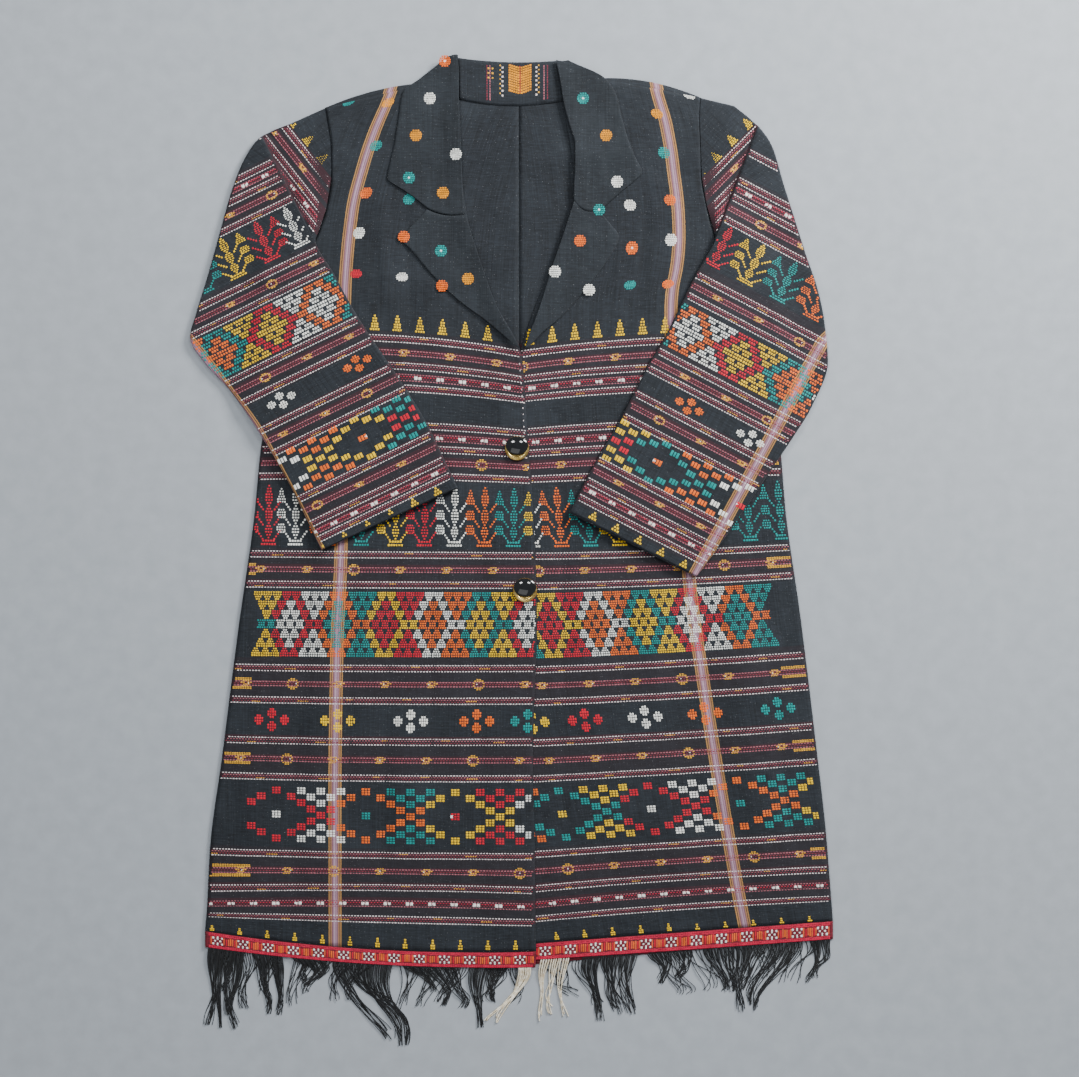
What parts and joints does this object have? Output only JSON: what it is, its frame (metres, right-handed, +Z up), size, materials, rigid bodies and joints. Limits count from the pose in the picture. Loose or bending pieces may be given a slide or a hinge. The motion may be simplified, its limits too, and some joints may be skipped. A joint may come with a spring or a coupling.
{
  "type": "banded handwoven long jacket with fringed hem, laid flat",
  "caption": "Long tailored jacket of banded handwoven cloth with notched lapels, bent sleeves and a taped, fringed hem, buttoned and laid flat.",
  "frame": {"origin": "middle of the footprint, on the surface that the jacket lies on", "axes": "+Z up, +Y from the hem toward the collar, +X toward the wearer's left"},
  "size_m": [0.643, 0.9974, 0.0111],
  "materials": {
    "woven_cloth": "black cotton ground with woven stripes and raised coloured motifs",
    "plain_cloth": "plain black cotton weave",
    "hem_tape": "red patterned woven tape",
    "black_thread": "loose black cotton threads",
    "cream_thread": "loose cream cotton threads",
    "button": "glossy black dome in a gilt rim"
  },
  "bodies": {
    "root": {"back_right": "woven_cloth", "back_left": "woven_cloth", "front_right": "woven_cloth", "front_left": "woven_cloth", "sleeve_right": "woven_cloth", "sleeve_left": "woven_cloth", "collar_leaf_right": "plain_cloth", "collar_leaf_left": "plain_cloth", "collar_stand": "plain_cloth", "collar_fall": "plain_cloth", "lapel_right": "plain_cloth", "lapel_left": "plain_cloth", "button_upper": "button", "button_lower": "button", "hem_tape_front_right": "hem_tape", "hem_tape_front_left": "hem_tape", "hem_tape_back_right": "hem_tape", "hem_tape_back_left": "hem_tape", "fringe_front_right": "black_thread", "fringe_front_left": "black_thread", "fringe_back": "black_thread", "fringe_cream_right": "cream_thread", "fringe_cream_left": "cream_thread"}
  },
  "joints": []
}
